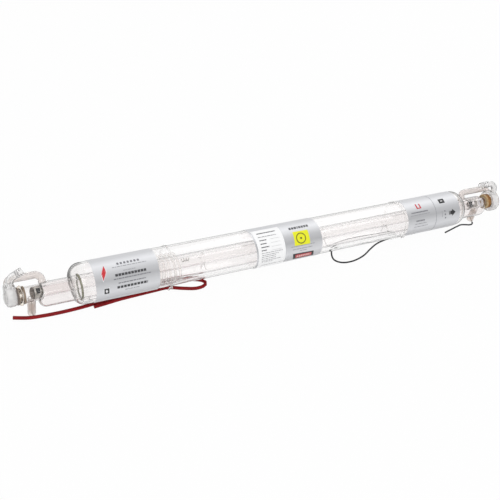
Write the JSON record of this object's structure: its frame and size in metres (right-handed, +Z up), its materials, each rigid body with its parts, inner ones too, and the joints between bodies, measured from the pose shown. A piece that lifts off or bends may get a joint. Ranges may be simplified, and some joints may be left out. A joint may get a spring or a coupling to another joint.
{
  "type": "co2 laser tube",
  "caption": "Sealed glass carbon dioxide laser tube with a water jacket, end mirrors, electrode side arms, hose nozzles and loose leads.",
  "frame": {"origin": "on the floor, below the middle of the tube's length", "axes": "+X along the beam towards the output end, +Z up, the lower face of both side arms on the floor"},
  "size_m": [0.723, 0.0589, 0.0729],
  "materials": {
    "borosilicate_glass": "clear, fire polished",
    "nickel_steel": "dull nickel",
    "silver_foil": "satin printed foil",
    "mirror_silicon": "polished, coated",
    "amber_cement": "hard resin",
    "brass": "machined",
    "zinc_selenide": "polished lens",
    "white_paper": "matt paper",
    "clear_nylon": "natural nylon",
    "red_silicone": "soft high voltage insulation",
    "olive_rubber": "soft seal",
    "black_insulation": "smooth insulation"
  },
  "bodies": {
    "root": {"anode_electrode": "nickel_steel", "anode_head": "borosilicate_glass", "anode_lead_pin": "nickel_steel", "black_lead": "black_insulation", "cathode_electrode": "nickel_steel", "cathode_head": "borosilicate_glass", "cathode_lead_pin": "nickel_steel", "centre_label": "silver_foil", "coupler_retainer": "brass", "coupler_seat": "brass", "data_label": "white_paper", "discharge_tube": "borosilicate_glass", "front_bridge_tube": "borosilicate_glass", "front_cable_tie": "clear_nylon", "front_flange": "borosilicate_glass", "front_hose_nozzle": "borosilicate_glass", "front_label": "silver_foil", "front_water_cap": "borosilicate_glass", "gas_return_coil": "borosilicate_glass", "outer_envelope": "borosilicate_glass", "jacket_seal": "olive_rubber", "output_coupler": "zinc_selenide", "rear_bridge_tube": "borosilicate_glass", "rear_cable_tie": "clear_nylon", "rear_hose_nozzle": "borosilicate_glass", "rear_label": "silver_foil", "rear_mirror": "mirror_silicon", "rear_mirror_seat": "borosilicate_glass", "rear_seal_ring": "amber_cement", "rear_water_cap": "borosilicate_glass", "red_lead": "red_silicone", "spacer_ring_1": "borosilicate_glass", "spacer_ring_2": "borosilicate_glass", "spacer_ring_3": "borosilicate_glass", "spare_loop": "black_insulation", "support_spring": "nickel_steel", "water_jacket": "borosilicate_glass"}
  },
  "joints": []
}
